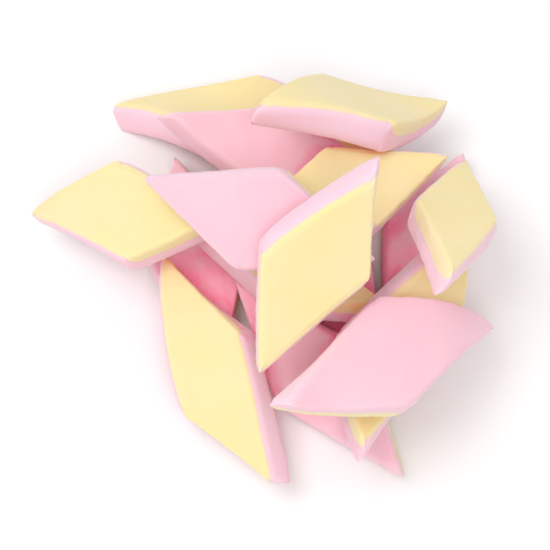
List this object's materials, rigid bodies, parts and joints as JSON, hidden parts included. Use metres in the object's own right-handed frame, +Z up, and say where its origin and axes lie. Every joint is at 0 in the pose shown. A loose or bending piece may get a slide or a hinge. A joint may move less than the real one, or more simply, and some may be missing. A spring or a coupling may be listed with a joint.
{
  "type": "heap of marshmallows",
  "caption": "Loose heap of soft two-tone marshmallows: slanted slabs with a pink layer and a yellow layer, lying across each other.",
  "frame": {"origin": "centre of the heap's bounding box, on the surface that the heap lies on", "axes": "+Z up; +Y away from the viewer of the heap's shown side; +X to that viewer's right"},
  "size_m": [0.112, 0.1078, 0.0734],
  "materials": {
    "pink_foam": "soft matte, dusted",
    "yellow_foam": "soft matte, dusted"
  },
  "bodies": {
    "root": {"low_left_pink": "pink_foam", "low_left_yellow": "yellow_foam", "low_back_right_pink": "pink_foam", "low_back_right_yellow": "yellow_foam", "low_middle_pink": "pink_foam", "low_middle_yellow": "yellow_foam", "back_left_pink": "pink_foam", "back_left_yellow": "yellow_foam", "low_front_pink": "pink_foam", "low_front_yellow": "yellow_foam", "core_pink": "pink_foam", "core_yellow": "yellow_foam", "front_left_pink": "pink_foam", "front_left_yellow": "yellow_foam", "left_end_pink": "pink_foam", "left_end_yellow": "yellow_foam", "back_middle_pink": "pink_foam", "back_middle_yellow": "yellow_foam", "low_right_pink": "pink_foam", "low_right_yellow": "yellow_foam", "middle_right_pink": "pink_foam", "middle_right_yellow": "yellow_foam", "back_right_pink": "pink_foam", "back_right_yellow": "yellow_foam", "front_right_pink": "pink_foam", "front_right_yellow": "yellow_foam", "right_end_pink": "pink_foam", "right_end_yellow": "yellow_foam", "left_top_pink": "pink_foam", "left_top_yellow": "yellow_foam", "centre_top_pink": "pink_foam", "centre_top_yellow": "yellow_foam"}
  },
  "joints": []
}
